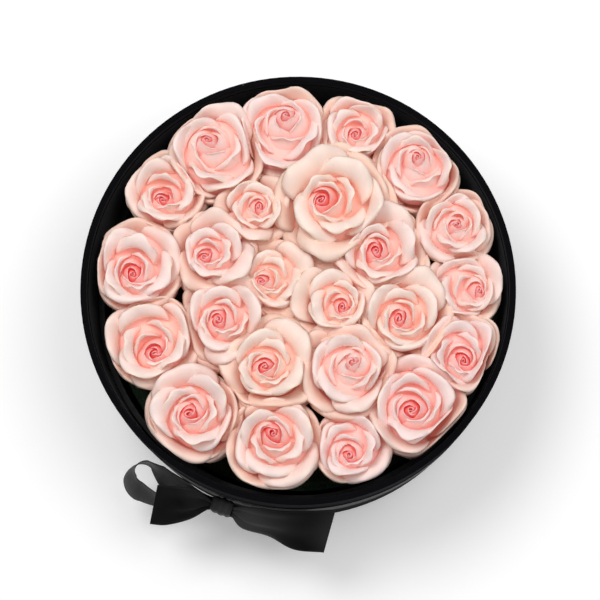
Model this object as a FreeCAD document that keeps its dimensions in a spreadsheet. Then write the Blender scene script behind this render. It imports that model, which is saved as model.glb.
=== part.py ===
"""Round flower box: a papered board box tied with a ribbon bow, and a dish of roses that lifts out."""
import FreeCAD, Part
import Sketcher
import os
from math import cos, pi, sin, sqrt
from FreeCAD import Placement, Rotation, Vector

doc = FreeCAD.newDocument("flower_box")

# Driving dimensions, in millimetres and degrees.
SIZES = (
    ("box_radius", 130),        # outside of the paper wrap
    ("box_height", 130),        # table to rim
    ("board", 2.5),             # grey board of the wall
    ("base_board", 2.5),        # grey board of the base
    ("paper", 0.5),             # wrap, linings and base cover
    ("glue_gap", 0.1),          # glue film between papered surfaces
    ("turn_in", 14),            # wrap folded over the rim
    ("turn_under", 12),         # wrap folded under the foot
    ("rim_round", 0.8),         # softened edge of the folded wrap
    ("lining_drop", 5),         # rim to the top of the lining
    ("cover_margin", 2),        # base cover's edge inside the wrap
    ("ribbon_width", 38),
    ("ribbon_thick", 0.6),
    ("band_height", 76),        # table to the middle of the ribbon band
    ("band_gap", 0.1),          # ribbon to wrap
    ("bow_bearing", 250),       # where the bow sits round the box
    ("knot_width", 13),
    ("knot_depth", 10),
    ("knot_height", 21),
    ("knot_round", 3),
    ("bow_gap", 0.4),           # between the bow's pieces, and between bow and band
    ("loop_left_reach", 62),    # middle of the knot to the turn of the loop
    ("loop_left_depth", 17.5),  # between the loop's two strands
    ("loop_left_rest", 6.5),    # inner strand to the ribbon band
    ("loop_left_droop", 9),     # how far the loop hangs below the knot
    ("loop_right_reach", 55),
    ("loop_right_depth", 10),
    ("loop_right_rest", 4),
    ("loop_right_droop", 18),
    ("tail_left_reach", 39.5),  # middle of the knot to the cut end
    ("tail_left_clear", 6.5),   # cut end's middle out from the loop's outer strand
    ("tail_left_drop", 3),      # cut end's middle below the loop's upper edge
    ("tail_left_lean", 38),     # how far the cut end tips outwards at its foot
    ("tail_right_reach", 67),
    ("tail_right_clear", 16),   # cut end's middle out from the ribbon band
    ("tail_right_lift", 18),    # cut end's middle above the loop's upper edge
    ("tail_right_lean", 42),
    ("liner_gap", 1.2),         # dish lip to box lining
    ("liner_wall", 0.8),
    ("liner_height", 74),
    ("liner_draft", 3),         # dish narrows by this towards its foot
    ("liner_lip", 2.5),
    ("foam_gap", 0.4),          # foam to dish wall
    ("foam_height", 66),
    ("foam_chamfer", 3),
    ("stem_radius", 2.8),
    ("stem_fit", 0.2),          # stem to the hole that it makes in the foam
    ("stem_rest", 14),          # foam's underside to the foot of a stem
    ("ring_inset", 28),         # box lining to the outer ring of roses
    ("ring_step", 44),          # outer ring to inner ring
    ("core_step", 32),          # inner ring to the middle pair
    ("bloom_sink", 6),          # rim to a bloom's centre, for a bloom at the wall
    ("crown_rise", 10),         # how much higher the middle of the bunch stands
    ("bloom_gap", 0.8),         # least room between neighbouring blooms
    ("petal_thick", 0.9),       # on a bloom of the model radius
    ("model_radius", 20),       # bloom that the petals are drawn for
    ("petal_count", 9),
)
sheet = doc.addObject("Spreadsheet::Sheet", "sizes")
for row, (alias, value) in enumerate(SIZES, 1):
    sheet.set(f"A{row}", alias)
    sheet.set(f"B{row}", str(value))
    sheet.setAlias(f"B{row}", alias)
doc.recompute()


def size(formula):
    """Value of a formula written in the sheet's aliases."""
    return float(sheet.evalExpression(bound(formula)))


def bound(formula):
    """The same formula as an expression that refers to the sheet."""
    words = formula.replace("(", "( ").replace(")", " )").split()
    aliases = dict(SIZES)
    return " ".join(f"sizes.{word}" if word in aliases else word for word in words)


# Radii and heights that several pieces share, as formulas of the sheet.
WALL_OUTSIDE = "box_radius - paper - glue_gap"
WALL_INSIDE = f"{WALL_OUTSIDE} - board"
FOLD_OUTSIDE = f"{WALL_INSIDE} - glue_gap"
FOLD_INSIDE = f"{FOLD_OUTSIDE} - paper"
LINING_OUTSIDE = f"{FOLD_INSIDE} - glue_gap"
BORE = f"{LINING_OUTSIDE} - paper"
WALL_FOOT = "paper + paper"
BASE_TOP = f"{WALL_FOOT} + base_board"
FLOOR = f"{BASE_TOP} + paper"
DISH_TOP_RADIUS = f"{BORE} - liner_gap - liner_lip"
DISH_FOOT_RADIUS = f"{DISH_TOP_RADIUS} - liner_draft"
FOAM_FOOT = f"{FLOOR} + liner_wall"
FOAM_RADIUS = f"{DISH_FOOT_RADIUS} - liner_wall - foam_gap"


def new_body(label):
    body = doc.addObject("PartDesign::Body", label)
    body.Label = label
    return body


def plane_sketch(body, name, role):
    sketch = body.newObject("Sketcher::SketchObject", name)
    plane = next(item for item in body.Origin.OriginFeatures if item.Role == role)
    sketch.AttachmentSupport = [(plane, "")]
    sketch.MapMode = "FlatFace"
    return sketch


def pin(sketch, kind, curve, point, formula):
    """Hold one coordinate of a sketch point at a formula of the sheet."""
    number = sketch.addConstraint(Sketcher.Constraint(kind, -1, 1, curve, point, size(formula)))
    sketch.setExpression(f"Constraints[{number}]", bound(formula))


def turned(label, corners):
    """Body turned about the box's axis from a closed outline of (radius, height) formulas."""
    body = new_body(label)
    sketch = plane_sketch(body, f"{label}_outline", "XZ_Plane")
    places = [Vector(size(radius), size(height), 0) for radius, height in corners]
    for start, end in zip(places, places[1:] + places[:1]):
        sketch.addGeometry(Part.LineSegment(start, end))
    for line, (radius, height) in enumerate(corners):
        following = (line + 1) % len(corners)
        sketch.addConstraint(Sketcher.Constraint("Coincident", line, 2, following, 1))
        if radius == "0":
            sketch.addConstraint(Sketcher.Constraint("PointOnObject", line, 1, -2))
        else:
            pin(sketch, "DistanceX", line, 1, radius)
        if height == "0":
            sketch.addConstraint(Sketcher.Constraint("PointOnObject", line, 1, -1))
        else:
            pin(sketch, "DistanceY", line, 1, height)
    turn = body.newObject("PartDesign::Revolution", f"{label}_turn")
    turn.Profile = sketch
    turn.ReferenceAxis = (sketch, ["V_Axis"])
    turn.Angle = 360
    doc.recompute()
    return body


def ring(label, inside, outside, foot, top):
    return turned(label, ((inside, foot), (outside, foot), (outside, top), (inside, top)))


def disc(label, radius, foot, top):
    return turned(label, (("0", foot), (radius, foot), (radius, top), ("0", top)))


def circles_at(shape, height):
    """Names of the level round edges of a shape at a height."""
    names = []
    for number, edge in enumerate(shape.Edges, 1):
        level = abs(edge.BoundBox.ZMin - height) < 1e-4 and abs(edge.BoundBox.ZMax - height) < 1e-4
        if level and edge.Curve.TypeId == "Part::GeomCircle":
            names.append(f"Edge{number}")
    return names


# The box: a board tube and base, papered outside and inside.
box_wall = ring("box_wall", WALL_INSIDE, WALL_OUTSIDE, WALL_FOOT, "box_height - paper")
base_disc = disc("base_disc", f"{WALL_INSIDE} - glue_gap", WALL_FOOT, BASE_TOP)
base_cover = disc("base_cover", "box_radius - cover_margin", "0", "paper")
inner_lining = ring("inner_lining", BORE, LINING_OUTSIDE, BASE_TOP, "box_height - lining_drop")
floor_lining = disc("floor_lining", f"{BORE} - glue_gap", BASE_TOP, FLOOR)

# The wrap is one sheet: under the foot, up the wall, over the rim and down inside.
outer_wrap = turned("outer_wrap", (
    ("box_radius - turn_under", "paper"),
    ("box_radius", "paper"),
    ("box_radius", "box_height"),
    (FOLD_INSIDE, "box_height"),
    (FOLD_INSIDE, "box_height - turn_in"),
    (FOLD_OUTSIDE, "box_height - turn_in"),
    (FOLD_OUTSIDE, "box_height - paper"),
    ("box_radius - paper", "box_height - paper"),
    ("box_radius - paper", WALL_FOOT),
    ("box_radius - turn_under", WALL_FOOT),
))
wrap_turn = outer_wrap.Tip
rim = outer_wrap.newObject("PartDesign::Fillet", "rim_softening")
rim.Base = (wrap_turn, circles_at(wrap_turn.Shape, size("box_height")))
rim.setExpression("Radius", bound("rim_round"))

# The ribbon band round the wall.
ribbon_band = ring("ribbon_band", "box_radius + band_gap", "box_radius + band_gap + ribbon_thick",
                   "band_height - ribbon_width / 2", "band_height + ribbon_width / 2")

# The bow is drawn in its own frame: along the wall, outwards from it, and up.
BAND_FACE = "box_radius + band_gap + ribbon_thick + bow_gap"
bow_turn = Rotation(Vector(0, 0, 1), size("bow_bearing") + 90)
bow_base = Vector(0, -size(BAND_FACE), size("band_height"))
BOW_PLACE = Placement(bow_turn.multVec(bow_base), bow_turn)
ROOT = "knot_width / 2 + bow_gap"


def bow_point(along, out, up):
    """A point of the bow's frame; its Y axis points into the box."""
    return Vector(along, -out, up)


def band_out(along):
    """How far out the band's face lies, at a distance along the wall from the knot."""
    return sqrt(size(BAND_FACE) ** 2 - along ** 2) - size(BAND_FACE)


def bow_piece(label, shape):
    """Adds a finished piece of the bow in its place."""
    piece = doc.addObject("Part::Feature", label)
    piece.Label = label
    piece.Shape = shape
    piece.Placement = BOW_PLACE
    return piece


knot_block = doc.addObject("Part::Box", "knot_block")
knot_block.setExpression("Length", bound("knot_width"))
knot_block.setExpression("Width", bound("knot_depth"))
knot_block.setExpression("Height", bound("knot_height"))
bow_knot = doc.addObject("Part::Fillet", "bow_knot")
bow_knot.Base = knot_block
doc.recompute()
knot_round = min([size("knot_round")] + [size(f"knot_{side} / 3") for side in ("width", "depth", "height")])
bow_knot.Edges = [(number, knot_round, knot_round) for number in range(1, len(knot_block.Shape.Edges) + 1)]
knot_corner = Vector(-size("knot_width") / 2, -size("knot_depth"), -size("knot_height") / 2)
bow_knot.Placement = BOW_PLACE.multiply(Placement(knot_corner, Rotation()))

# Where a loop's strands go into the knot, as shares of its depth and height.
STRANDS_IN = (0.28, 0.74)
LOOP_PINCH, LOOP_ROOT = 0.15, -0.22
# Seen from the front a loop opens to the full width at this share of its length, in a bulged curve.
LOOP_OPEN = 0.5
LOOP_SWELL = (0.2, 0.62)


def loop_turn(name):
    """Where a loop turns back: the distance along the wall, and its two strands' distances out."""
    bend = size(f"loop_{name}_reach - loop_{name}_depth / 2")
    near = band_out(bend) + size(f"loop_{name}_rest")
    return bend, near, near + size(f"loop_{name}_depth")


def loop_band(name, side):
    """The ribbon on edge: along the wall, round the turn, and back further out; taller than its cut."""
    reach = size(f"loop_{name}_reach")
    root = size(ROOT)
    first, last = (size("knot_depth") * share for share in STRANDS_IN)
    bend, near, far = loop_turn(name)
    half_way = (root + bend) / 2
    bulge = size(f"loop_{name}_rest") / 2
    strands = (
        ((root, first), (half_way, (first + near) / 2 + bulge), (bend, near)),
        ((bend, near), (reach, (near + far) / 2), (bend, far)),
        ((bend, far), (half_way, (last + far) / 2 + bulge), (root, last)),
    )
    foot = -size("ribbon_width")
    arcs = [Part.Arc(*[bow_point(side * along, out, foot) for along, out in points]).toShape()
            for points in strands]
    band = Part.Wire(arcs).makeOffset2D(size("ribbon_thick"), 0, True, True)
    return band.extrude(Vector(0, 0, -3 * foot))


def loop_front(name, side):
    """Outline of a loop from the front: from the pinched knot it opens to the full ribbon width."""
    reach = size(f"loop_{name}_reach")
    root = size(ROOT)
    pinch = size("knot_height") * LOOP_PINCH
    root_up = size("knot_height") * LOOP_ROOT
    open_at, swell_at = (root + (reach - root) * share for share in (LOOP_OPEN, LOOP_SWELL[0]))
    behind = band_out(reach) - reach
    corners = []
    edges = []
    for edge in (1, -1):
        tight = root_up + edge * pinch
        full = edge * size("ribbon_width") / 2 - size(f"loop_{name}_droop")
        swell = tight + (full - tight) * LOOP_SWELL[1]
        curve = ((root, tight), (swell_at, swell), (open_at, full), (2 * reach, full))
        places = [bow_point(side * along, behind, up) for along, up in curve]
        edges += [Part.Arc(*places[:3]).toShape(), Part.makeLine(*places[2:])]
        corners.append((places[0], places[3]))
    edges += [Part.makeLine(upper, lower) for upper, lower in zip(*corners)]
    front = Part.Face(Part.Wire(Part.__sortEdges__(edges)))
    return front.extrude(Vector(0, -4 * reach, 0))


def bow_loop(name, side):
    """A loop of ribbon beside the knot; side is -1 or 1."""
    return bow_piece(f"bow_loop_{name}", loop_band(name, side).common(loop_front(name, side)).Solids[0])


# Stations of a tail from the knot to its cut end, as shares: along, out, up, width and lean.
TAIL_LEFT_STEPS = (
    (0.0, 0.0, 0.0, 0.19, 0.9), (0.31, 0.58, 0.6, 0.66, 1.05),
    (0.68, 0.92, 0.9, 0.94, 1.03), (1.0, 1.0, 1.0, 1.0, 1.0),
)
TAIL_RIGHT_STEPS = (
    (0.0, 0.0, 0.0, 0.19, 0.85), (0.165, -0.14, 0.12, 0.64, 0.8), (0.44, -0.08, 0.39, 0.91, 0.65),
    (0.72, 0.28, 0.86, 0.98, 0.92), (1.0, 1.0, 1.0, 1.0, 1.0),
)
TAIL_ROOT_OUT, TAIL_ROOT_UP = 0.5, 0.24


def bow_tail(name, side, out_end, up_end, steps):
    """A tail leaves the knot pinched and flares to its cut end: a loft of ribbon sections."""
    root = size(ROOT)
    span = size(f"tail_{name}_reach") - root
    root_out = size("knot_depth") * TAIL_ROOT_OUT
    root_up = size("knot_height") * TAIL_ROOT_UP
    centres = [bow_point(side * (root + span * along), root_out + (out_end - root_out) * out,
                         root_up + (up_end - root_up) * up) for along, out, up, width, lean in steps]
    # The first section lies square to the knot's side, and the others square to the tail's line.
    travels = [Vector(side, 0, 0)] + [after - before for before, after in zip(centres, centres[2:])]
    travels.append(centres[-1] - centres[-2])
    wires = []
    for centre, travel, (along, out, up, width, lean) in zip(centres, travels, steps):
        travel.z = 0
        travel.normalize()
        across = Rotation(travel, -side * size(f"tail_{name}_lean") * lean).multVec(Vector(0, 0, 1))
        face = travel.cross(across).normalize() * size("ribbon_thick") / 2
        half = across * size("ribbon_width") * width / 2
        corners = [half + face, half - face, -half - face, -half + face]
        places = [centre + corner for corner in corners]
        wires.append(Part.makePolygon(places + places[:1]))
    return bow_piece(f"bow_tail_{name}", Part.makeLoft(wires, True, False))


bow_loop_left = bow_loop("left", -1)
bow_loop_right = bow_loop("right", 1)
bow_tail_left = bow_tail(
    "left", -1, loop_turn("left")[2] + size("tail_left_clear"),
    size("ribbon_width / 2 - loop_left_droop - tail_left_drop"), TAIL_LEFT_STEPS)
bow_tail_right = bow_tail(
    "right", 1, band_out(size("tail_right_reach")) + size("tail_right_clear"),
    size("ribbon_width / 2 - loop_right_droop + tail_right_lift"), TAIL_RIGHT_STEPS)

# The waterproof dish stands on the floor of the box; its rolled lip keeps it central.
liner = turned("liner", (
    ("0", FLOOR),
    (DISH_FOOT_RADIUS, FLOOR),
    (DISH_TOP_RADIUS, f"{FLOOR} + liner_height"),
    (f"{DISH_TOP_RADIUS} + liner_lip", f"{FLOOR} + liner_height"),
    (f"{DISH_TOP_RADIUS} + liner_lip", f"{FLOOR} + liner_height + liner_wall"),
    (f"{DISH_TOP_RADIUS} - liner_wall", f"{FLOOR} + liner_height + liner_wall"),
    (f"{DISH_FOOT_RADIUS} - liner_wall", FOAM_FOOT),
    ("0", FOAM_FOOT),
))

# Each rose: ring, bearing round the box, nudge outwards from the ring, lean outwards, and turn.
ROSES = (
    ("outer", 122, -3, 20, 10), ("outer", 94, -3, 12, 70), ("outer", 69, 1, 4, 130),
    ("outer", 44, 2, 8, 200), ("outer", 19, 0, 5, 265), ("outer", 359, 3, 10, 320),
    ("outer", 336, 6, 7, 25), ("outer", 313, 2, 5, 95), ("outer", 287, 4, 10, 150),
    ("outer", 261, -4, 2, 215), ("outer", 232, 0, 4, 285), ("outer", 203, -6, 5, 340),
    ("outer", 175, 0, 5, 45), ("outer", 146, -1, 2, 110),
    ("inner", 118, -1, 5, 175), ("inner", 68, -3, 2, 240), ("inner", 21, -2, 1, 300),
    ("inner", 341, 10, 1, 5), ("inner", 300, 5, -6, 60), ("inner", 250, -2, 4, 125),
    ("inner", 204, -4, 2, 190), ("inner", 162, 1, 8, 255),
    ("core", 167, -5, 4, 310), ("core", 332, 5, 3, 15),
)
RING_RADIUS = {
    "outer": f"{BORE} - ring_inset",
    "inner": f"{BORE} - ring_inset - ring_step",
    "core": f"{BORE} - ring_inset - ring_step - core_step",
}


def rose_place(ring_name, bearing, nudge, lean, turn):
    """Placement of a bloom: its centre in the bunch, its axis leaning outwards."""
    reach = size(RING_RADIUS[ring_name]) + nudge
    rise = size("crown_rise") * (1 - (reach / size(BORE)) ** 2)
    outwards = Rotation(Vector(0, 0, 1), bearing)
    centre = outwards.multVec(Vector(reach, 0, size("box_height - bloom_sink") + rise))
    tilt = Rotation(Vector(0, 1, 0), lean)
    return Placement(centre, outwards * tilt * Rotation(Vector(0, 0, 1), turn))


PLACES = [rose_place(*rose) for rose in ROSES]


def bloom_radius(number):
    """A bloom opens until it meets its nearest neighbour or the wall, less the gap."""
    centre = PLACES[number].Base
    others = [place.Base for index, place in enumerate(PLACES) if index != number]
    nearest = min((other - centre).Length for other in others) / 2
    wall = size(BORE) - Vector(centre.x, centre.y, 0).Length
    return min(nearest, wall) - size("bloom_gap") / 2


def smooth(places):
    """Smooth curve through a few places."""
    curve = Part.BSplineCurve()
    curve.interpolate(places)
    return curve


# A petal's middle line from base to lip, in shares of the bloom's radius: radius and height at the
# heart, and how much each changes as the petal's own spread grows from 0 to 1.
PETAL_LINE = (
    (0.08, 0.14, -0.58, -0.28), (0.0, 0.90, 0.12, -0.46),
    (0.0, 0.88, 0.78, -0.70), (0.0, 0.98, 0.88, -0.74),
)
PETAL_SPAN = 134            # widest turn of a petal, under the step from one petal to the next
GOLDEN_STEP = 137.5         # turn from one petal to the next
INNER_SPREAD, OUTER_SPREAD = 0.27, 1.0


def petal_section(spread):
    """Cup and lip of a petal in the XZ plane; spread is the lip's radius as a share of the bloom's."""
    places = [Vector(radius + wider * spread, 0, height + higher * spread) * size("model_radius")
              for radius, wider, height, higher in PETAL_LINE]
    middle = smooth(places)
    faces = []
    for step in (0.5, -0.5):
        shifted = []
        for place in places:
            heading = middle.tangent(middle.parameter(place))[0]
            shifted.append(place + heading.cross(Vector(0, 1, 0)) * step * size("petal_thick"))
        faces.append(smooth(shifted))
    edges = [face.toShape() for face in faces]
    for end in ("StartPoint", "EndPoint"):
        edges.append(Part.makeLine(getattr(faces[0], end), getattr(faces[1], end)))
    return Part.Face(Part.Wire(Part.__sortEdges__(edges))), places[0], places[-1]


def petal(spread, bearing):
    """One petal: a turned cup-and-lip shell, trimmed round by a ball about its middle."""
    section, base, lip = petal_section(spread)
    axis = Vector(0, 0, 1)
    section.rotate(Vector(), axis, -PETAL_SPAN / 2)
    shell = section.revolve(Vector(), axis, PETAL_SPAN)
    middle = (base + lip) / 2
    ball = Part.makeSphere((lip - middle).Length + size("petal_thick") / 2, middle)
    trimmed = shell.common(ball).Solids[0]
    trimmed.rotate(Vector(), axis, bearing)
    return trimmed


# The heart's middle, tip and half-width, in shares of the bloom's radius.
HEART_MIDDLE, HEART_TIP, HEART_HALF = 0.18, 0.86, 0.12


def bud_heart():
    """The furled middle of a bloom, turned from a slim oval."""
    model = size("model_radius")
    middle = Vector(0, 0, HEART_MIDDLE) * model
    tip = Vector(0, 0, HEART_TIP) * model
    oval = Part.Ellipse(tip, middle + Vector(HEART_HALF, 0, 0) * model, middle)
    side = Part.ArcOfEllipse(oval, 0, pi).toShape()
    section = Part.Face(Part.Wire([side, Part.makeLine(*[vertex.Point for vertex in side.Vertexes])]))
    return section.revolve(Vector(), Vector(0, 0, 1), 360)


# Outline of the hip from its top to its neck, and of a sepal from hip to tip, as (radius, height) in
# shares of the bloom's radius. The star of sepals is cut between these two radii.
HIP = ((0.035, -0.525), (0.212, -0.911), (0.27, -1.10), (0.15, -1.30))
SEPAL = ((0.16, -1.06), (0.45, -1.10), (0.72, -1.00))
STAR_POINT, STAR_NOTCH = 0.72, 0.26
SEPALS = 5


def calyx():
    """Hip with five sepals, turned and then cut to a star; its top carries the petals."""
    model = size("model_radius")
    top, shoulder, belly, neck = [Vector(radius, 0, height) * model for radius, height in HIP]
    head = Vector(0, 0, top.z)
    foot = Vector(0, 0, neck.z)
    edges = [Part.makeLine(*ends) for ends in ((foot, head), (head, top), (top, shoulder), (neck, foot))]
    edges.append(smooth([shoulder, belly, neck]).toShape())
    axis = Vector(0, 0, 1)
    hip = Part.Face(Part.Wire(Part.__sortEdges__(edges))).revolve(Vector(), axis, 360)
    leaf = [Vector(radius, 0, height) * model for radius, height in SEPAL]
    underside = [point - axis * size("petal_thick") for point in leaf]
    leaf_edges = [smooth(leaf).toShape(), smooth(underside).toShape()]
    leaf_edges += [Part.makeLine(leaf[end], underside[end]) for end in (0, -1)]
    collar = Part.Face(Part.Wire(Part.__sortEdges__(leaf_edges))).revolve(Vector(), axis, 360)
    points = []
    for step in range(SEPALS * 2):
        reach = model * (STAR_NOTCH if step % 2 else STAR_POINT)
        angle = step * pi / SEPALS
        points.append(Vector(reach * cos(angle), reach * sin(angle), -2 * model))
    star = Part.Face(Part.makePolygon(points + points[:1])).extrude(axis * 2 * model)
    return hip.fuse(collar.common(star)).removeSplitter().Solids[0]


petals = int(size("petal_count"))
spreads = [INNER_SPREAD + (OUTER_SPREAD - INNER_SPREAD) * step / (petals - 1) for step in range(petals)]
model_bloom = [bud_heart()] + [petal(spread, step * GOLDEN_STEP) for step, spread in enumerate(spreads)]
model_calyx = calyx()

calyxes = []
stems = []
holes = []
foam_top = size(f"{FOAM_FOOT} + foam_height")
stem_foot = size(f"{FOAM_FOOT} + stem_rest")
for number, place in enumerate(PLACES):
    scale = bloom_radius(number) / size("model_radius")
    bloom = doc.addObject("Part::Feature", f"rose_{number + 1:02d}")
    bloom.Label = f"rose_{number + 1:02d}"
    bloom.Shape = Part.makeCompound([solid.scaled(scale) for solid in model_bloom])
    bloom.Placement = place
    hip = model_calyx.scaled(scale)
    neck = place.multVec(Vector(0, 0, hip.BoundBox.ZMin))
    hip.Placement = place
    calyxes.append(hip)
    upright = place.Rotation.multVec(Vector(0, 0, 1))
    length = (neck.z - stem_foot) / upright.z
    foot = Placement(neck - upright * length, place.Rotation)
    for group, kind, radius in ((stems, "stem", "stem_radius"), (holes, "hole", "stem_radius + stem_fit")):
        rod = doc.addObject("Part::Cylinder", f"{kind}_{number + 1:02d}")
        rod.setExpression("Radius", bound(radius))
        rod.Height = length
        rod.Placement = foot
        group.append(rod)

rose_calyxes = doc.addObject("Part::Feature", "rose_calyxes")
rose_calyxes.Shape = Part.makeCompound(calyxes)
rose_stems = doc.addObject("Part::Compound", "rose_stems")
rose_stems.Links = stems

# The foam block, with a hole for each stem.
foam_block = disc("foam_block", FOAM_RADIUS, FOAM_FOOT, f"{FOAM_FOOT} + foam_height")
foam_turn = foam_block.Tip
foam_edge = foam_block.newObject("PartDesign::Chamfer", "foam_edge")
foam_edge.Base = (foam_turn, circles_at(foam_turn.Shape, foam_top))
foam_edge.setExpression("Size", bound("foam_chamfer"))
stem_holes = doc.addObject("Part::Compound", "stem_holes")
stem_holes.Links = holes
foam = doc.addObject("Part::Cut", "foam")
foam.Base = foam_block
foam.Tool = stem_holes
doc.recompute()

NODES = [box_wall, base_disc, outer_wrap, base_cover, inner_lining, floor_lining, ribbon_band, bow_knot,
         bow_loop_left, bow_loop_right, bow_tail_left, bow_tail_right, liner, foam, rose_stems, rose_calyxes]
NODES += [doc.getObject(f"rose_{number + 1:02d}") for number in range(len(ROSES))]

for item in doc.Objects:
    if "Invalid" in item.State or "Error" in item.State:
        raise RuntimeError(f"{item.Label} did not compute: {item.State}")
for node in NODES:
    if node.Shape.isNull() or not node.Shape.isValid():
        raise RuntimeError(f"{node.Label} has no valid shape")

os.makedirs("parts", exist_ok=True)
for node in NODES:
    node.Shape.exportStep(f"parts/{node.Label}.step")
    print(node.Label, len(node.Shape.Solids), "solids", round(node.Shape.Volume, 1), "mm3")
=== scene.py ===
"""Looks of the round flower box: papered box, ribbon bow, and the dish of roses that lifts out."""

import math

import bmesh
import bpy
import numpy as np
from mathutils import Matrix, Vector


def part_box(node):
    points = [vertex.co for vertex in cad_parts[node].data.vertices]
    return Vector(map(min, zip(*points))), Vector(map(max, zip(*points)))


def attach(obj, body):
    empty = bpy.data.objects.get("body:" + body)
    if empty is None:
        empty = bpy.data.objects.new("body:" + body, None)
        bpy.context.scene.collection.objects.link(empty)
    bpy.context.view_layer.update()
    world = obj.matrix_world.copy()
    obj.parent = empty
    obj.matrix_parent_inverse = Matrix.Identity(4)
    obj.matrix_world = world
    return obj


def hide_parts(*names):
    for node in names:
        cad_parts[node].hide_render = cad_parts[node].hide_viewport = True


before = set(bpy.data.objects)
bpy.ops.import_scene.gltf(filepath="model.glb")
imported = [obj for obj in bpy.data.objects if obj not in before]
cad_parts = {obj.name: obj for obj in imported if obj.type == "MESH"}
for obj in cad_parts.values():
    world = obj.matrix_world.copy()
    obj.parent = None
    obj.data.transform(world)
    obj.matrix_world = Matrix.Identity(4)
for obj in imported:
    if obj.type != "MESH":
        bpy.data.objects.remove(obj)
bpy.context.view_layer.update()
scene = bpy.context.scene
scene.view_settings.view_transform = "Standard"
scene.cycles.diffuse_bounces = 12

# Camera: a long lens about a metre away, almost straight above the box and a little to its
# front, aimed so that the rim falls where it does in the photograph.
ELEVATION = math.radians(80)
DISTANCE = 1.02
AIM = Vector((0.0011, -0.0085, 0.130))
FOCAL_LENGTH = 102.8
lens = bpy.data.cameras.new("camera")
lens.lens = FOCAL_LENGTH
camera = bpy.data.objects.new("camera", lens)
camera.location = AIM + DISTANCE * Vector((0, -math.cos(ELEVATION), math.sin(ELEVATION)))
camera.rotation_euler = (math.pi / 2 - ELEVATION, 0, 0)
scene.collection.objects.link(camera)
scene.camera = camera

# Lights: an even white surround and two soft lamps, one to the right and one behind on the left,
# which throw the pale shadows to the left of the box and in front of it on the right.
SURROUND = 0.40
WHITE = (1, 1, 1, 1)
LAMP_AIM = Vector((0, 0, 0.1))
# Name, place, width and watts of each lamp.
LAMPS = (
    ("lamp_right", (0.40, 0.05, 1.30), 0.6, 4.6),
    ("lamp_back_left", (-0.36, 0.24, 1.30), 0.5, 7.2),
)


class Shade:
    """A socket of a node tree. Arithmetic on it adds the Math nodes."""

    def __init__(self, tree, socket=None):
        self.tree = tree
        self.socket = socket

    def node(self, kind, settings=(), inputs=(), output=0):
        """Adds a node with these settings; inputs are values, or Shades to link from."""
        made = self.tree.nodes.new("ShaderNode" + kind)
        for name, value in dict(settings).items():
            setattr(made, name, value)
        for name, value in dict(inputs).items():
            if isinstance(value, Shade):
                self.tree.links.new(value.socket, made.inputs[name])
            else:
                made.inputs[name].default_value = value
        return Shade(self.tree, made.outputs[output])

    def math(self, operation, first, second=0.0):
        return self.node("Math", {"operation": operation}, {0: first, 1: second})

    def __add__(self, other):
        return self.math("ADD", self, other)

    def __radd__(self, other):
        return self.math("ADD", other, self)

    def __sub__(self, other):
        return self.math("SUBTRACT", self, other)

    def __rsub__(self, other):
        return self.math("SUBTRACT", other, self)

    def __mul__(self, other):
        return self.math("MULTIPLY", self, other)

    def __rmul__(self, other):
        return self.math("MULTIPLY", other, self)

    def ramp(self, start, end):
        """0 below start and 1 above end, with a smooth change between them."""
        return self.node("MapRange", {"interpolation_type": "SMOOTHSTEP"}, {0: self, 1: start, 2: end})

    def mix(self, low, high):
        """The colour low where this is 0, and high where it is 1."""
        return self.node("Mix", {"data_type": "RGBA"}, {0: self, 6: low, 7: high}, 2)


def seen_directly(shade):
    """1 for what the camera, a mirror or clear glass shows, and 0 for light that a surface takes in."""
    camera_ray, glossy, through = (
        shade.node("LightPath", output=f"Is {kind} Ray") for kind in ("Camera", "Glossy", "Transmission")
    )
    return shade.math("MAXIMUM", shade.math("MAXIMUM", camera_ray, glossy), through)


scene.world = bpy.data.worlds.new("surround")
scene.world.use_nodes = True
sky = Shade(scene.world.node_tree)
background = scene.world.node_tree.nodes["Background"]
background.inputs["Color"].default_value = WHITE
sky.tree.links.new((SURROUND + seen_directly(sky) * (1 - SURROUND)).socket, background.inputs["Strength"])
for name, place, width, watts in LAMPS:
    light = bpy.data.lights.new(name, "AREA")
    light.shape = "DISK"
    light.size = width
    light.energy = watts
    lamp = bpy.data.objects.new(name, light)
    lamp.location = place
    lamp.rotation_euler = (Vector(place) - LAMP_AIM).to_track_quat("Z", "Y").to_euler()
    scene.collection.objects.link(lamp)

# Floor: a plain white sweep that takes the shadow. It is lifted a little for the camera, so that
# it stays white outside the shadow.
FLOOR_SIZE = 6.0
FLOOR_LIFT = 0.20
FLOOR_TONES = ((0.90, 0.90, 0.90, 1), (0.92, 0.92, 0.92, 1))
BLACK = (0, 0, 0, 1)


def surface(name, fixed):
    """A new material with fixed settings on its shader, and the Shade to build its nodes from."""
    material = bpy.data.materials.new(name)
    material.use_nodes = True
    for socket, value in fixed.items():
        material.node_tree.nodes["Principled BSDF"].inputs[socket].default_value = value
    return material, Shade(material.node_tree)


def feed(material, varied):
    """Links Shades to the sockets of the material's shader."""
    for socket, shade in varied.items():
        shader = material.node_tree.nodes["Principled BSDF"]
        material.node_tree.links.new(shade.socket, shader.inputs[socket])


def add_object(name, bm, *materials):
    """Makes an object of the mesh, smooth shaded."""
    mesh = bpy.data.meshes.new(name)
    bm.to_mesh(mesh)
    bm.free()
    mesh.shade_smooth()
    for material in materials:
        mesh.materials.append(material)
    made = bpy.data.objects.new(name, mesh)
    scene.collection.objects.link(made)
    return made


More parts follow.
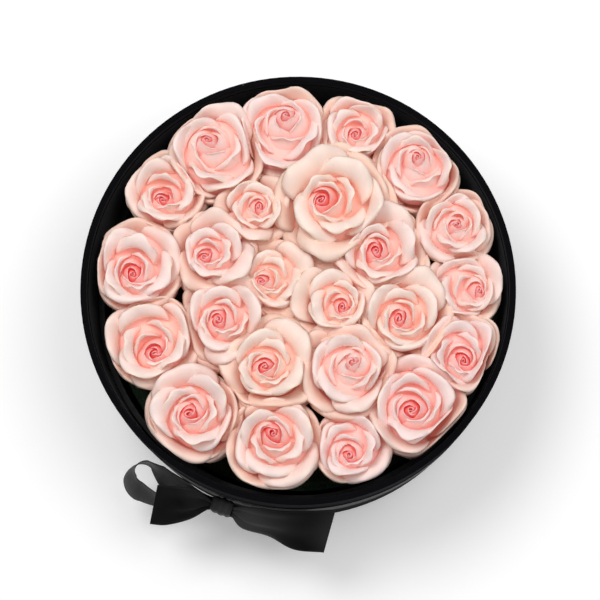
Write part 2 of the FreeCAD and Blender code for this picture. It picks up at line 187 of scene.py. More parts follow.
floor_white, tones = surface("floor_white", {
    "Roughness": 0.9,
    "Specular IOR Level": 0.0,
    "Emission Strength": 1.0,
})
mottle = tones.node("TexNoise", inputs={"Vector": tones.node("TexCoord", output="Object"), "Scale": 3.0})
lift = seen_directly(tones) * FLOOR_LIFT
feed(floor_white, {
    "Base Color": mottle.mix(*FLOOR_TONES),
    "Emission Color": lift.mix(BLACK, WHITE),
})
bm = bmesh.new()
bmesh.ops.create_grid(bm, x_segments=1, y_segments=1, size=FLOOR_SIZE / 2)
floor = add_object("floor", bm, floor_white)

# Box: a wall and base of grey board, wound and glued, with the wrap folded over the rim and under
# the foot. The board shows only where the paper ends.
BOARD_TONES = ((0.22, 0.20, 0.17, 1), (0.40, 0.37, 0.33, 1))


def coat(name, material):
    """Gives a CAD node this material alone."""
    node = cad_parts[name]
    node.data.materials.clear()
    node.data.materials.append(material)
    return node


board_grey, tones = surface("board_grey", {"Roughness": 0.85})
place = tones.node("TexCoord", output="Object")
pulp = tones.node("TexNoise", inputs={"Vector": place, "Scale": 700.0, "Detail": 5.0})
fibre = tones.node("TexNoise", inputs={"Vector": place, "Scale": 160.0, "Detail": 3.0})
feed(board_grey, {
    "Base Color": (pulp * 0.6 + fibre * 0.4).mix(*BOARD_TONES),
    "Normal": tones.node("Bump", inputs={"Strength": 0.4, "Distance": 0.0003, "Height": pulp}),
})
for name in ("box_wall", "base_disc"):
    coat(name, board_grey)

# Papers: black flocked paper glued round the outside, turned in at the rim, and lining the inside
# and the floor. A short nap catches light at a glance and holds a few pale specks of lint.
FLOCK_TONES = ((0.0015, 0.0015, 0.002, 1), (0.007, 0.0065, 0.008, 1))
LINT_TONE = (0.35, 0.33, 0.32, 1)
SHEEN_TONE = (0.75, 0.75, 0.80, 1)
black_flock, tones = surface("black_flock", {
    "Specular IOR Level": 0.0,
    "Sheen Weight": 0.07,
    "Sheen Roughness": 0.4,
    "Sheen Tint": SHEEN_TONE,
})
place = tones.node("TexCoord", output="Object")
nap = tones.node("TexNoise", inputs={"Vector": place, "Scale": 2600.0, "Detail": 3.0})
brushed = tones.node("TexNoise", inputs={"Vector": place, "Scale": 55.0, "Detail": 4.0, "Roughness": 0.6})
cells = {"Vector": place, "Scale": 210.0}
to_speck = tones.node("TexVoronoi", inputs=cells)
lot = tones.node("SeparateColor", inputs={0: tones.node("TexVoronoi", inputs=cells, output="Color")})
lint = (1 - to_speck.ramp(0.03, 0.10)) * lot.ramp(0.93, 0.94)
black = (nap * 0.5 + brushed * 0.5).mix(*FLOCK_TONES)
feed(black_flock, {
    "Base Color": (lint * 0.6).mix(black, LINT_TONE),
    "Roughness": 0.75 + brushed * 0.2,
    "Normal": tones.node("Bump", inputs={"Strength": 0.5, "Distance": 0.0002, "Height": nap}),
})
for name in ("outer_wrap", "base_cover", "inner_lining", "floor_lining"):
    coat(name, black_flock)

# Ribbon band: black satin ribbon laid once round the wall, its join under the knot. A fine weave
# runs across it and a thicker selvedge along each edge.
RIBBON_WIDTH = 0.038
RIBBON_THICK = 0.0004
SELVEDGE = 0.93             # where the thicker edge begins, as a share of the half width
SELVEDGE_SLOPE = 0.03       # share over which it rises
SELVEDGE_RISE = 0.00012
BAND_RIPPLE = 0.0001
BAND_WANDER = 0.0003        # how far the band strays up and down as it goes round
BAND_TURN = math.radians(250)
BAND_FACES = (240, 24)      # along the ribbon and across it
# Black satin, and at the light end the painted sheen.
SATIN_AND_PAINTED_SHEEN_TONES = ((0.002, 0.002, 0.002, 1), (0.062, 0.062, 0.063, 1))
band_low, band_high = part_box("ribbon_band")
BAND_RADIUS = band_high.x - RIBBON_THICK
BAND_MIDDLE = (band_low.z + band_high.z) / 2


def cloth(name, faces, shape, material):
    """A ribbon sheet: shape gives the points for u along it and v across it, both from -1 to 1."""
    columns, rows = faces
    bm = bmesh.new()
    bmesh.ops.create_grid(bm, x_segments=columns, y_segments=rows, size=1.0)
    flat = np.array([vert.co for vert in bm.verts])
    across = bm.loops.layers.uv.new("weave")
    for face in bm.faces:
        for corner in face.loops:
            corner[across].uv = corner.vert.co.xy
    for vert, point in zip(bm.verts, shape(flat[:, 0], flat[:, 1])):
        vert.co = point
    made = add_object(name, bm, material)
    thickness = made.modifiers.new("thickness", "SOLIDIFY")
    thickness.thickness = RIBBON_THICK
    thickness.offset = 0.0
    return made


def selvedge(v):
    """Rise of the thicker woven edges, as a share."""
    return np.clip((np.abs(v) - SELVEDGE) / SELVEDGE_SLOPE, 0, 1)


def band_shape(u, v):
    """The band's points: once round the wall, with slight ripples."""
    angle = BAND_TURN + math.pi * u
    radius = BAND_RADIUS + SELVEDGE_RISE * selvedge(v) + BAND_RIPPLE * np.sin(5 * angle + 2 * v)
    height = BAND_MIDDLE + v * RIBBON_WIDTH / 2 + BAND_WANDER * np.sin(3 * angle)
    return np.stack([radius * np.cos(angle), radius * np.sin(angle), height], axis=1)


black_satin, tones = surface("black_satin", {
    "Specular IOR Level": 0.02,
    "Anisotropic": 0.5,
})
weave_map = tones.node("UVMap", {"uv_map": "weave"})
athwart = tones.node("SeparateXYZ", inputs={0: weave_map}, output=1)
edge = tones.math("ABSOLUTE", athwart).ramp(SELVEDGE - 0.01, SELVEDGE + 0.02)
ribs = tones.math("SINE", athwart * 240.0)
place = tones.node("TexCoord", output="Object")
slub = tones.node("TexNoise", inputs={"Vector": place, "Scale": 90.0})
# Painted sheen patches: a noise, shifted to place the bright patches, lightens the satin's base colour.
sheen_place = tones.node("Mapping", inputs={"Vector": place, "Location": (0.06, 0.0, 0.03)})
painted_sheen_patches = tones.node("TexNoise", inputs={"Vector": sheen_place, "Scale": 22.0, "Detail": 0.0}).ramp(0.35, 0.72)
# Painted sheen: the base colour is lighter in soft patches where the ribbon hangs loose, and nearly even
# where it lies on the wall.
in_plan = tones.node("Mapping", inputs={"Vector": place, "Scale": (1.0, 1.0, 0.0)})
from_axis = tones.node("VectorMath", {"operation": "LENGTH"}, {0: in_plan}, "Value")
loose = from_axis.ramp(BAND_RADIUS + 0.0009, BAND_RADIUS + 0.0032)
painted_sheen = loose * painted_sheen_patches + (1 - loose) * (0.3 + painted_sheen_patches * 0.12)
feed(black_satin, {
    "Base Color": (edge * 0.15 + slub * 0.1 + painted_sheen * 0.75).mix(*SATIN_AND_PAINTED_SHEEN_TONES),
    "Roughness": 0.40 + slub * 0.12 + edge * 0.2,
    "Normal": tones.node("Bump", inputs={"Strength": 0.12, "Distance": 0.0001, "Height": ribs}),
})
band = cloth("satin_band", BAND_FACES, band_shape, black_satin)
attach(band, "box")
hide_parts("ribbon_band")

# Bow: two loops and two tails of the same ribbon, gathered under a short strip that is wound
# round their middle and sewn to the band behind.
BOW_BEARING = BAND_TURN
BOW_BASE = BAND_RADIUS + 0.0008     # clear of the band
KNOT = (0.013, 0.010, 0.021)    # width, depth and height
KNOT_STRIP = (0.014, 0.052)     # the strip laid flat
KNOT_SQUARENESS = 3.2
KNOT_TUCK = 0.16
KNOT_CREASE = 0.05
LOOP_FACES = (110, 30)
TAIL_FACES = (60, 30)
KNOT_FACES = (90, 28)
# The rest is in millimetres about the knot.
ROOT = 6.9                      # where the ribbon comes out of the knot
PLEATS = 2.5                    # half waves there, from the ribbon's middle to its edge
PINCHED = 3.2                   # half width of a loop there
PINCH_DROP = 4.6                # and how far below the band's middle it is
LOOP_PLEAT = 1.4                # depth of a loop's pleats
LOOP_OPENING = 27.0             # how far from the root it is fully open
LOOP_SWAY = 0.6
TAIL_PLEAT = 1.2
TAIL_BILLOW = 1.6
TAIL_TIP = 0.6                  # share of a tail's pleats and billow that goes upwards
# Each loop's side, droop, lean in degrees of its back and front strand, and path: three arcs, by
# distances along the wall and out from it.
LOOPS = (
    ("satin_loop_left", "bow_loop_left", -1, 9.0, (-16.0, 16.0), (
        ((ROOT, 2.8), (31.0, 2.3), (52.0, -4.5)),
        ((52.0, -4.5), (61.5, 4.5), (52.0, 13.0)),
        ((52.0, 13.0), (31.0, 14.0), (ROOT, 7.4)),
    )),
    ("satin_loop_right", "bow_loop_right", 1, 18.0, (-10.0, 4.0), (
        ((ROOT, 2.8), (29.0, 1.0), (49.0, -5.5)),
        ((49.0, -5.5), (55.0, -0.5), (49.0, 4.5)),
        ((49.0, 4.5), (29.0, 9.0), (ROOT, 7.4)),
    )),
)
# Upper and lower edge of each tail, from the knot to the cut end: along the wall, out and up.
TAILS = (
    ("satin_tail_left", "bow_tail_left", (
        ((-ROOT, 4.0, 8.0), (-ROOT, 8.0, 2.0)),
        ((-18.0, 1.5, 15.5), (-16.0, 18.5, -3.0)),
        ((-29.0, 4.0, 20.5), (-29.0, 27.0, -7.0)),
        ((-40.0, 7.0, 22.0), (-39.0, 30.0, -8.0)),
    )),
    ("satin_tail_right", "bow_tail_right", (
        ((ROOT, 3.0, 8.0), (ROOT, 7.5, 2.0)),
        ((18.0, -0.3, 17.0), (15.5, 13.0, -3.5)),
        ((34.0, -3.4, 26.0), (33.0, 12.0, -5.0)),
        ((50.0, -8.6, 31.5), (50.0, 14.5, 2.5)),
        ((66.0, -15.2, 33.0), (68.0, 10.0, 5.0)),
    )),
)


def on_bow(along, out, up):
    """Points from distances along the wall, out of it and up, in millimetres, about the knot."""
    right = np.array((-math.sin(BOW_BEARING), math.cos(BOW_BEARING), 0.0))
    away = np.array((math.cos(BOW_BEARING), math.sin(BOW_BEARING), 0.0))
    middle = away * BOW_BASE + np.array((0.0, 0.0, BAND_MIDDLE))
    rise = np.array((0.0, 0.0, 1.0))
    return middle + 0.001 * (np.outer(along, right) + np.outer(out, away) + np.outer(up, rise))


def arc_points(first, second, third, count):
    """Points on the circle through three points, from the first to the third."""
    a, b, c = (complex(*point) for point in (first, second, third))
    w = (c - a) / (b - a)
    centre = (b - a) * (w - abs(w) ** 2) / (2j * w.imag) + a
    turn = [np.angle(point - centre) for point in (a, b, c)]
    sweep = np.unwrap(turn)
    middle = abs(a - centre) * np.exp(1j * np.linspace(sweep[0], sweep[2], count)) + centre
    return np.stack([middle.real, middle.imag], axis=1)


def loop_shape(side, droop, tip, path):
    """A loop of ribbon on edge, pinched in pleats at the knot and open at its turn."""
    strands = [arc_points(*points, 60) for points in path]
    line = np.concatenate([strands[0], strands[1][1:], strands[2][1:]])
    travelled = np.concatenate([[0.0], np.cumsum(np.hypot(*np.diff(line, axis=0).T))])
    heading = np.gradient(line, travelled, axis=0)

    def shape(u, v):
        at = (u + 1) / 2 * travelled[-1]
        along, out = (np.interp(at, travelled, line[:, axis]) for axis in (0, 1))
        away_along = np.interp(at, travelled, heading[:, 1])
        away_out = -np.interp(at, travelled, heading[:, 0])
        opened = 1 - (1 - np.clip((along - ROOT) / LOOP_OPENING, 0, 1)) ** 2.2
        lean = np.radians(np.interp(u, (-0.4, 0.05, 0.2, 0.8), (*tip, tip[1], 0.0))) * opened
        half = PINCHED + (1000 * RIBBON_WIDTH / 2 - PINCHED) * opened
        pleat = LOOP_PLEAT * (1 - opened) * np.cos(PLEATS * math.pi * v)
        sway = LOOP_SWAY * opened * np.sin(2.2 * v + at * 0.05)
        shift = pleat + sway - v * half * np.sin(lean)
        up = -PINCH_DROP + (PINCH_DROP - droop) * opened + v * half * np.cos(lean)
        return on_bow(side * (along + away_along * shift), out + away_out * shift, up)

    return shape, travelled[-1]


def curve_through(points, at):
    """Smooth curve through evenly spaced points, at shares from 0 to 1."""
    points = np.array(points)
    slopes = np.gradient(points, axis=0)
    place = np.clip(at, 0, 1) * (len(points) - 1)
    before = np.minimum(place.astype(int), len(points) - 2)
    t = (place - before)[:, None]
    return (
        (1 + 2 * t) * (1 - t) ** 2 * points[before] + t * (1 - t) ** 2 * slopes[before]
        + t ** 2 * (3 - 2 * t) * points[before + 1] + t ** 2 * (t - 1) * slopes[before + 1]
    )


def tail_shape(edges):
    """A tail that leaves the knot in pleats and flares to its cut end, tipped outwards at its foot."""
    upper, lower = zip(*edges)

    def shape(u, v):
        at = (u + 1) / 2
        top = curve_through(upper, at)
        bottom = curve_through(lower, at)
        points = bottom + (top - bottom) * ((v + 1) / 2)[:, None]
        pleat = TAIL_PLEAT * (1 - at) ** 2 * np.cos(PLEATS * math.pi * v)
        billow = TAIL_BILLOW * np.sin(math.pi * at) * np.cos(math.pi * v / 2) * np.sin(5 * at)
        out = points[:, 1] + pleat + billow
        return on_bow(points[:, 0], out, points[:, 2] + TAIL_TIP * (pleat + billow))

    length = np.linalg.norm(np.array(upper[-1]) - np.array(upper[0]))
    return shape, length


def knot_shape(u, v):
    """A strip wound once round the bow's middle, creased along its length and tucked in at its edges."""
    turn = math.pi * u + 0.4
    wide, deep, tall = (1000 * side / 2 for side in KNOT)
    tuck = 1 - KNOT_TUCK * np.abs(v) ** 3
    crease = 1 + KNOT_CREASE * np.cos(3 * math.pi * v + 0.6 * np.sin(turn))
    sides = np.abs(np.cos(turn)) ** KNOT_SQUARENESS + np.abs(np.sin(turn)) ** KNOT_SQUARENESS
    flatness = sides ** (-1 / KNOT_SQUARENESS)
    out = deep + deep * np.cos(turn) * flatness * tuck * crease
    up = tall * np.sin(turn) * flatness * tuck * crease
    return on_bow(wide * v, out, up)


def tie(piece, node, flat):
    """Fixes a ribbon piece to the box in place of its CAD form."""
    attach(piece, "box")
    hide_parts(node)


for name, node, side, droop, tip, path in LOOPS:
    shape, length = loop_shape(side, droop, tip, path)
    loop = cloth(name, LOOP_FACES, shape, black_satin)
    tie(loop, node, (RIBBON_WIDTH, length / 1000))
for name, node, edges in TAILS:
    shape, length = tail_shape(edges)
    tail = cloth(name, TAIL_FACES, shape, black_satin)
    tie(tail, node, (RIBBON_WIDTH, length / 1000))
knot = cloth("satin_knot", KNOT_FACES, knot_shape, black_satin)
tie(knot, "bow_knot", KNOT_STRIP)

# Dish: a thin waterproof liner of black plastic that stands on the floor of the box and is lifted
# out with the flowers.
DISH_TONES = ((0.003, 0.003, 0.003, 1), (0.007, 0.007, 0.007, 1))
dish_black, tones = surface("dish_black", {"Specular IOR Level": 0.12})
frost = tones.node("TexNoise", inputs={"Vector": tones.node("TexCoord", output="Object"), "Scale": 220.0})
feed(dish_black, {
    "Base Color": frost.mix(*DISH_TONES),
    "Roughness": 0.35 + frost * 0.25,
})
coat("liner", dish_black)

# Foam: a round block of green floral foam, open-pored and dark with water, pressed into the dish.
# It holds the stems and keeps them wet.
FOAM_TONES = ((0.012, 0.030, 0.016, 1), (0.045, 0.085, 0.045, 1))
foam_green, tones = surface("foam_green", {"Specular IOR Level": 0.2})
place = tones.node("TexCoord", output="Object")
pores = tones.node("TexVoronoi", inputs={"Vector": place, "Scale": 900.0})
damp = tones.node("TexNoise", inputs={"Vector": place, "Scale": 40.0, "Detail": 4.0})
feed(foam_green, {
    "Base Color": (pores * 0.5 + damp * 0.5).mix(*FOAM_TONES),
    "Roughness": 0.7 + damp * 0.25,
    "Normal": tones.node("Bump", inputs={"Strength": 0.7, "Distance": 0.0006, "Height": pores}),
})
coat("foam", foam_green)

# Stems and calyxes: cut green stalks, blushed brown in places and pushed into the foam, each with
# its hip and five sepals under the head.
STEM_TONES = ((0.035, 0.085, 0.018, 1), (0.10, 0.20, 0.045, 1))
BLUSH_TONE = (0.16, 0.09, 0.04, 1)
stem_green, tones = surface("stem_green", {"Specular IOR Level": 0.35, "Subsurface Weight": 0.05})
place = tones.node("TexCoord", output="Object")
grain = tones.node("Mapping", inputs={"Vector": place, "Scale": (900.0, 900.0, 60.0)})
streak = tones.node("TexNoise", inputs={"Vector": grain, "Scale": 1.0})
blush = tones.node("TexNoise", inputs={"Vector": place, "Scale": 50.0})
green = streak.mix(*STEM_TONES)
feed(stem_green, {
    "Base Color": (blush.ramp(0.55, 0.8) * 0.5).mix(green, BLUSH_TONE),
    "Roughness": 0.40 + streak * 0.25,
    "Normal": tones.node("Bump", inputs={"Strength": 0.3, "Distance": 0.0003, "Height": streak}),
})
for name in ("rose_stems", "rose_calyxes"):
    coat(name, stem_green)

# Rose heads: each is one open bloom of thin pink petals on its calyx, set in golden-angle order from
# a tight spiral at the heart to broad rolled guard petals, and pressed against its neighbours.
# Sizes are in millimetres.
SEED = 40
PETALS = 25                 # on a head, the last of them under the guard petals
GUARD = 16                  # number of the last guard petal, whose age is 1
COLUMNS = 22                # faces across a petal
ROWS = 20                   # faces from its base to its rim
MARKS = ("rim", "age", "peach", "hue", "across")    # what each point tells the material
GOLDEN_ANGLE = math.radians(137.5)
PETAL_THICK = 0.4
MODEL_SPREAD = 24.0         # spread of the head that the petals are drawn for
FULLNESS = 1.38             # how much fuller the petals are drawn than they end up when pressed
CROWN = 146.0               # height of the bunch at its middle
CROWN_FALL = 8.0            # how much lower it stands at the mouth's edge
MOUTH_RADIUS = 125.7
RISE = 2.0                  # height of one step between heads
NEIGHBOURS_WITHIN = 62.0
WALL_LIMIT = 119.0          # how far out a petal may reach
OVERLAP = 0.9               # how far a higher head spreads over a lower one, by its rise
GIVE = 0.1                  # how far a lower head draws in, as a share of that
ROUNDNESS = 1.10            # widest reach of the guard petals, in spreads
UNDER_ROUNDNESS = (1.45, 1.0)   # the same of the petals under them: inner heads, outer ring
OUTER_RING = 75.0           # heads farther out than this are in the outer ring
GUARD_ROOM = (0.6, 3.4)     # least and most room that a petal leaves its neighbours
UNDER_ROOM = (-5.0, -0.5)   # the petals below reach in under the neighbours
PACKING = 9                 # how squarely the heads fill the corners between them
UNDER_PACKING = 13
EASE = 6                    # how sharply a petal stops at its limit
SINK = 0.2                  # how far it sinks for each millimetre that it is drawn in
HEART_SQUEEZE = 0.26        # how much the heart is flattened to an oval
ROUND_AGE = 0.7             # age of the first petal that isn't
LEAN_AGES = (0.35, 1.0)     # petals lean as the heart does up to the first, and not at the second
ANY_PHASE = (0, 6.3)        # for waves that begin anywhere
# Middle of the head, its spread, how far the heart leans, how open it is, how peach, and how high
# it stands above or below its neighbours, in steps.
ROSES = (
    (-49.5, 82.2, 27.6, -4.7, 4.3, 0.2, 0.3, 2),
    (-10.0, 94.2, 26.7, 3.0, 7.9, 0.2, 0.2, 1),
    (35.8, 97.2, 21.0, -1.5, -5.7, 0.6, 0.4, -1),
    (72.0, 71.4, 24.0, -0.6, 4.3, 0.1, 0.2, 2),
    (93.6, 36.6, 20.6, 0.6, -1.0, 0.3, 0.3, 0),
    (98.3, -0.3, 20.8, 9.2, -3.6, 0.4, 0.3, -2),
    (95.6, -40.2, 22.9, 1.8, -6.0, 0.8, 0.1, 0),
    (70.0, -70.5, 27.6, -4.5, -4.8, 0.7, 0.1, 1),
    (31.0, -95.4, 21.0, -1.4, -6.3, 0.6, 0.1, -1),
    (-14.1, -93.6, 25.2, -0.6, 5.0, 0.8, 0.4, 1),
    (-61.3, -76.5, 25.4, -1.8, -0.7, 0.7, 0.3, 1),
    (-87.3, -31.5, 26.5, 3.0, -9.6, 0.8, 0.5, -1),
    (-96.7, 11.4, 25.8, -1.2, -6.0, 0.9, 0.3, 1),
    (-79.3, 58.8, 23.3, -1.5, -7.5, 0.9, 0.5, -1),
    (-26.2, 48.0, 17.4, 3.2, -1.6, 0.6, 0.6, -2),
    (23.7, 49.2, 27.6, -10.1, -0.4, 0.9, 0.8, 3),
    (49.0, 20.4, 23.7, -3.0, -1.6, 0.8, 0.4, 0),
    (63.2, -18.9, 23.9, -4.1, -3.0, 0.6, 0.7, 1),
    (29.3, -51.0, 22.0, 2.6, 3.1, 0.1, 0.3, 2),
    (-16.5, -48.6, 22.6, -3.0, -1.6, 0.7, 0.8, 1),
    (-43.0, -20.4, 23.2, -4.1, -1.6, 0.7, 0.4, -1),
    (-50.4, 19.5, 19.0, -5.0, -4.2, 0.8, 0.3, 0),
    (-14.1, 4.5, 18.9, -7.7, -3.0, 0.6, 0.8, -3),
    (23.4, -10.5, 19.9, 2.7, -4.2, 0.7, 0.7, -1),
)
# Petals from the heart to the guards, at these ages, for a closed bud and for an open bloom: the
# throat's radius and height, the bulge below it, the rolled lip's length, and how far the sides drop.
AGES = (0.0, 0.22, 0.42, 0.68, 1.0, 1.3)
BUD = (
    (0.5, 2.2, 4.6, 9.0, 14.0, 17.0),
    (0.0, -0.6, -2.6, -6.5, -10.0, -20.0),
    (3.0, 4.8, 7.0, 6.0, 1.0, 0.0),
    (0.3, 0.5, 1.0, 4.5, 14.0, 22.0),
    (1.0, 2.6, 6.0, 7.0, 3.0, 1.5),
)
OPEN = (
    (0.6, 2.2, 4.4, 7.4, 11.8, 16.0),
    (-3.2, -2.4, -1.8, -3.4, -7.5, -19.0),
    (3.0, 4.0, 5.4, 4.6, 0.0, 0.0),
    (0.4, 0.7, 1.3, 6.0, 16.5, 23.0),
    (0.8, 1.8, 3.6, 4.6, 3.0, 1.5),
)
# Alike in both: the length of the shoulder below the throat, how far the lip curls in radians, half
# the petal's turn round the heart in degrees, and the slant, wave and flare of its rim.
SHOULDER = (3.5, 4.5, 6.0, 9.0, 10.0, 10.0)
CURL = (0.4, 0.7, 1.1, 1.5, 2.1, 2.4)
HALF_TURN = (150.0, 105.0, 78.0, 64.0, 58.0, 60.0)
SLOPE = (0.3, 0.6, 0.9, 1.1, 1.2, 1.2)
WAVE = (0.03, 0.06, 0.12, 0.25, 0.5, 0.4)
FLARE = (0.0, 0.2, 0.6, 1.2, 1.8, 1.0)
FOOT = -33.0                # base of the petals, below the head's tip
RAGGED = 0.14               # unevenness of the guard petals' rims
BODY = 0.66                 # share of a petal below its lip
# A solid core closes the view down between the petals: its half sizes and depth below the tip.
CORE = (28.0, 28.0, 7.0)
CORE_DEPTH = 20.0
CORE_ROOM = 3.0
# The core takes the deep tone, with its painted crevice shade.
CORE_RIM = 0.3              # toned as the depth of a middle petal
CORE_AGE = 0.5


def petal_points(u, v, age, spread, openness, chance):
    """Points of a petal about its rose's tip, in millimetres; u runs across and v from base to rim."""
    scale = spread / MODEL_SPREAD * FULLNESS
    throat, top, bulge, lip, drop = (
        (1 - openness) * np.interp(age, AGES, closed) + openness * np.interp(age, AGES, opened)
        for closed, opened in zip(BUD, OPEN)
    )
    top = top + chance.normal(0, 0.3)
    lip = lip * chance.uniform(0.8, 1.2)
    drop = drop * chance.uniform(0.7, 1.3)
    curl = np.interp(age, AGES, CURL) * chance.uniform(0.8, 1.2)
    half_turn = math.radians(np.interp(age, AGES, HALF_TURN)) * chance.uniform(0.92, 1.08)
    shoulder = np.interp(age, AGES, SHOULDER)
    along = np.clip(v / BODY, 0, 1)
    roll = np.clip((v - BODY) / (1 - BODY), 0, 1)
    side = np.abs(u)
    rim_radius = throat + np.interp(age, AGES, SLOPE) * u + chance.normal(0, 0.3) * np.cos(3 * u)
    rim_height = top - drop * side ** 2.4 + chance.normal(0, 0.6) * u
    tall = rim_height - FOOT
    # Control points of the body: its base, belly, shoulder and throat.
    points = [
        (2.0 + 2.0 * age, FOOT),
        (rim_radius * 0.6 + bulge + 1.0, FOOT + 0.22 * tall),
        (rim_radius + bulge, rim_height - shoulder),
        (rim_radius, rim_height),
    ]
    weights = ((1 - along) ** 3, 3 * along * (1 - along) ** 2, 3 * along ** 2 * (1 - along), along ** 3)
    radius = sum(weight * point[0] for weight, point in zip(weights, points))
    height = sum(weight * point[1] for weight, point in zip(weights, points))
    # The lip goes on from the throat and rolls outwards.
    heading = math.atan2(-bulge, shoulder)
    narrowing = 0.45 - 0.2 * np.clip((age - 1.0) / 0.2, 0, 1)
    reach = lip * (1 - narrowing * side ** 3) + lip * chance.uniform(0, 0.2) * (1 - side) ** 3
    ragged = np.sin(17 * u + chance.uniform(*ANY_PHASE)) + np.sin(29 * u + chance.uniform(*ANY_PHASE))
    reach = reach + RAGGED * np.clip((age - 0.7) / 0.3, 0, 1) * ragged
    bend = curl * (1 + 0.15 * np.cos(2 * math.pi * u + chance.uniform(*ANY_PHASE)))
    radius = radius + reach / bend * (np.cos(heading) - np.cos(heading + bend * roll))
    height = height + reach / bend * (np.sin(heading + bend * roll) - np.sin(heading))
    wave = np.interp(age, AGES, WAVE) * np.sin(chance.uniform(3, 6) * u + chance.uniform(*ANY_PHASE))
    height = height + wave * roll
    radius = radius + np.interp(age, AGES, FLARE) * side ** 4 * np.clip(along * 2 - 1, 0, 1)
    taper = (0.85 + 0.15 * np.clip(along / 0.6, 0, 1)) * (1 - 0.3 * roll ** 2)
    angle = chance.normal(0, 0.12) + half_turn * u * taper
    return scale * radius, angle, scale * height


def press(points, middle, spread, widest, others, room, packing):
    """Draws a head's points inside a rounded outline that its neighbours and the box wall leave it."""
    out = points[:, :2] - middle
    reach = np.maximum(np.hypot(out[:, 0], out[:, 1]), 1e-6)
    heading = out / reach[:, None]
    tightness = np.full(len(points), (1 / (widest - room)) ** packing)
    to_wall = middle * (WALL_LIMIT / np.hypot(*middle) - 1)
    limits = [(to_wall, np.hypot(*to_wall))]
    for x, y, other, over in others:
        gap = np.array((x, y)) - middle
        limits.append((gap, np.hypot(*gap) * spread / (spread + other) + over))
    for gap, allowed in limits:
        facing = np.maximum(heading @ (gap / np.hypot(*gap)), 0)
        tightness += (facing / (allowed - room)) ** packing
    limit = tightness ** (-1 / packing)
    drawn = reach / (1 + (reach / limit) ** EASE) ** (1 / EASE)
    moved = points.copy()
    moved[:, :2] = middle + heading * drawn[:, None]
    moved[:, 2] -= SINK * (reach - drawn)
    return moved


# Each tone of a petal on a pink head, on a peach one, and at the heart of either.
RIM_TONES = ((0.90, 0.74, 0.72, 1), (0.90, 0.76, 0.66, 1), (0.90, 0.54, 0.54, 1))
FACE_TONES = ((0.90, 0.71, 0.68, 1), (0.90, 0.74, 0.64, 1), (0.90, 0.31, 0.29, 1))
# The deep tones are partly the petals' own deeper colour and partly painted shade for the crevices
# between petals.
DEEP_AND_CREVICE_SHADE_TONES = ((0.89, 0.60, 0.56, 1), (0.89, 0.65, 0.53, 1), (0.82, 0.06, 0.05, 1))
# Painted glow standing in for light through a petal and through the heart; painted shade on the petals
# under the guards, from their depth to their rim; the yellowed rims, and the veins.
PAINTED_GLOW_TONES = ((0.93, 0.46, 0.40, 1), (1.0, 0.09, 0.07, 1))
PAINTED_UNDER_SHADE_TONES = ((0.68, 0.29, 0.17, 1), (0.88, 0.64, 0.50, 1))
YELLOWED_TONE = (0.90, 0.82, 0.58, 1)
VEIN_TONE = (0.93, 0.52, 0.48, 1)
# Its faint emission is painted glow, standing in for light through the petals.
petal_pink, tones = surface("petal_pink", {"Specular IOR Level": 0.15, "Emission Strength": 0.09})
rim, age, peach, hue, across = (
    tones.node("Attribute", {"attribute_name": name}, output="Fac") for name in MARKS
)
fan = tones.node("CombineXYZ", inputs={0: across * 9.0, 1: rim * 1.5, 2: hue * 40.0})
veins = tones.node("TexNoise", inputs={"Vector": fan, "Scale": 1.6, "Detail": 4.0})
clouds = tones.node("TexNoise", inputs={"Vector": tones.node("TexCoord", output="Object"), "Scale": 60.0})
depth = 1 - rim
heart = 1 - age.ramp(0.20, 0.60)
pale, face, deep = (
    heart.mix(peach.mix(pink, warm), inner) for pink, warm, inner in (RIM_TONES, FACE_TONES, DEEP_AND_CREVICE_SHADE_TONES)
)
body = depth.ramp(0.0, 0.45).mix(pale, face)
# Towards its base a petal turns to the deep tone: partly its own colour, partly painted crevice shade.
body = depth.ramp(age * 0.50 + 0.15, age * 0.60 + 0.45).mix(body, deep)
under = age.ramp(1.0, 1.2)
faded = rim.ramp(0.90, 1.0) * age.ramp(0.55, 0.95) * (1 - under) * clouds.ramp(0.45, 0.65)
body = (faded * 0.5).mix(body, YELLOWED_TONE)
# Painted shade: the petals under the guards are darker and browner, most towards their base, for the
# shade beneath the neighbouring heads.
body = (under * 0.6).mix(body, rim.ramp(0.60, 0.98).mix(*PAINTED_UNDER_SHADE_TONES))
# Painted glow: the petals emit a faint colour, stronger deeper in, for light through them; less on the
# petals under the guards.
painted_glow = (0.35 + depth.ramp(0.05, 0.50) * 0.65) * (1 - under * 0.7)
feed(petal_pink, {
    "Emission Color": painted_glow.mix(BLACK, heart.mix(*PAINTED_GLOW_TONES)),
    "Base Color": (veins.ramp(0.35, 0.75) * 0.10).mix(body, VEIN_TONE),
    "Roughness": 0.45 + veins * 0.2,
    "Normal": tones.node("Bump", inputs={"Strength": 0.12, "Distance": 0.0004, "Height": veins}),
})
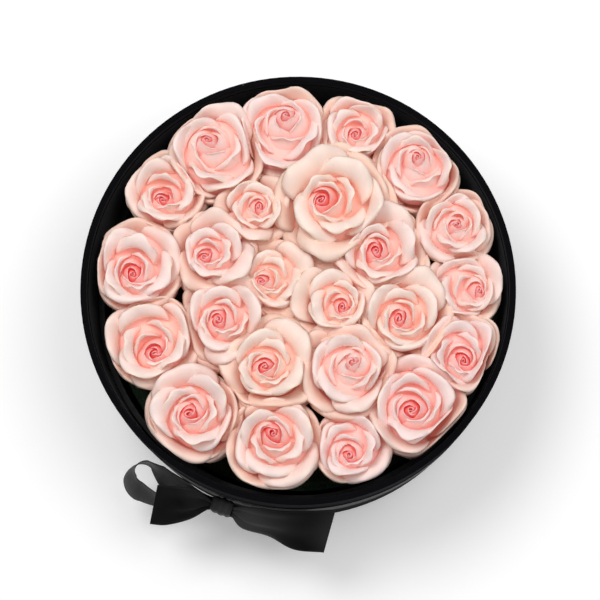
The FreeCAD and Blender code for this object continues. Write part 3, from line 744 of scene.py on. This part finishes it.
for number, (x, y, spread, lean_x, lean_y, openness, peachy, step) in enumerate(ROSES):
    chance = np.random.default_rng(SEED + number)
    middle = np.array((x, y))
    from_middle = math.hypot(x, y)
    near = []
    for other_x, other_y, other_spread, *_, other_step in ROSES:
        if 0 < math.hypot(other_x - x, other_y - y) < NEIGHBOURS_WITHIN:
            over = OVERLAP * RISE * (step - other_step)
            near.append((other_x, other_y, other_spread, over * (1 if step > other_step else GIVE)))
    tip = CROWN - CROWN_FALL * (from_middle / MOUTH_RADIUS) ** 2 + RISE * step
    bm = bmesh.new()
    marks = {name: bm.verts.layers.float.new(name) for name in MARKS}
    first_turn, slant = chance.uniform(0, 2 * math.pi, 2)
    oval = np.array((math.cos(slant), math.sin(slant)))
    core = bmesh.ops.create_uvsphere(bm, u_segments=24, v_segments=14, radius=1.0)["verts"]
    scale = spread / MODEL_SPREAD
    points = scale * np.array(CORE) * [vert.co for vert in core] + (x, y, tip - CORE_DEPTH * scale)
    points = press(points, middle, spread, spread, near, CORE_ROOM, PACKING)
    for vert, point in zip(core, points):
        vert.co = 0.001 * Vector(point)
        vert[marks["rim"]] = CORE_RIM
        vert[marks["age"]] = CORE_AGE
        vert[marks["peach"]] = peachy
    for count in range(PETALS):
        older = count / GUARD
        made = bmesh.ops.create_grid(bm, x_segments=COLUMNS, y_segments=ROWS, size=1.0)["verts"]
        flat = np.array([vert.co for vert in made])
        u, v = flat[:, 0], (flat[:, 1] + 1) / 2
        radius, angle, height = petal_points(u, v, older, spread, openness, chance)
        angle = angle + first_turn + count * GOLDEN_ANGLE
        points = np.stack([radius * np.cos(angle), radius * np.sin(angle), height + tip], axis=1)
        squeeze = HEART_SQUEEZE * np.clip(1 - older / ROUND_AGE, 0, 1)
        points[:, :2] -= squeeze * np.outer(points[:, :2] @ oval, oval)
        points[:, :2] += middle + np.array((lean_x, lean_y)) * np.interp(older, LEAN_AGES, (1.0, 0.0))
        if count <= GUARD:
            widest, rooms, packing = ROUNDNESS, GUARD_ROOM, PACKING
        else:
            widest, rooms, packing = UNDER_ROUNDNESS[from_middle > OUTER_RING], UNDER_ROOM, UNDER_PACKING
        room = chance.uniform(*rooms)
        points = press(points, middle, spread, spread * widest, near, room, packing)
        # A closed bud's heart is paler, as an older petal is.
        toned_age = older + 0.3 * (1 - openness) * max(1 - older, 0)
        tone = chance.uniform()
        for vert, point, u_at, v_at in zip(made, points, u, v):
            vert.co = 0.001 * Vector(point)
            for name, value in zip(marks, (v_at, toned_age, peachy, tone, u_at)):
                vert[marks[name]] = value
    node = f"rose_{number + 1:02d}"
    bloom = add_object(f"bloom_{number + 1:02d}", bm, petal_pink)
    thickness = bloom.modifiers.new("thickness", "SOLIDIFY")
    thickness.thickness = 0.001 * PETAL_THICK
    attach(bloom, "insert")
    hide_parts(node)
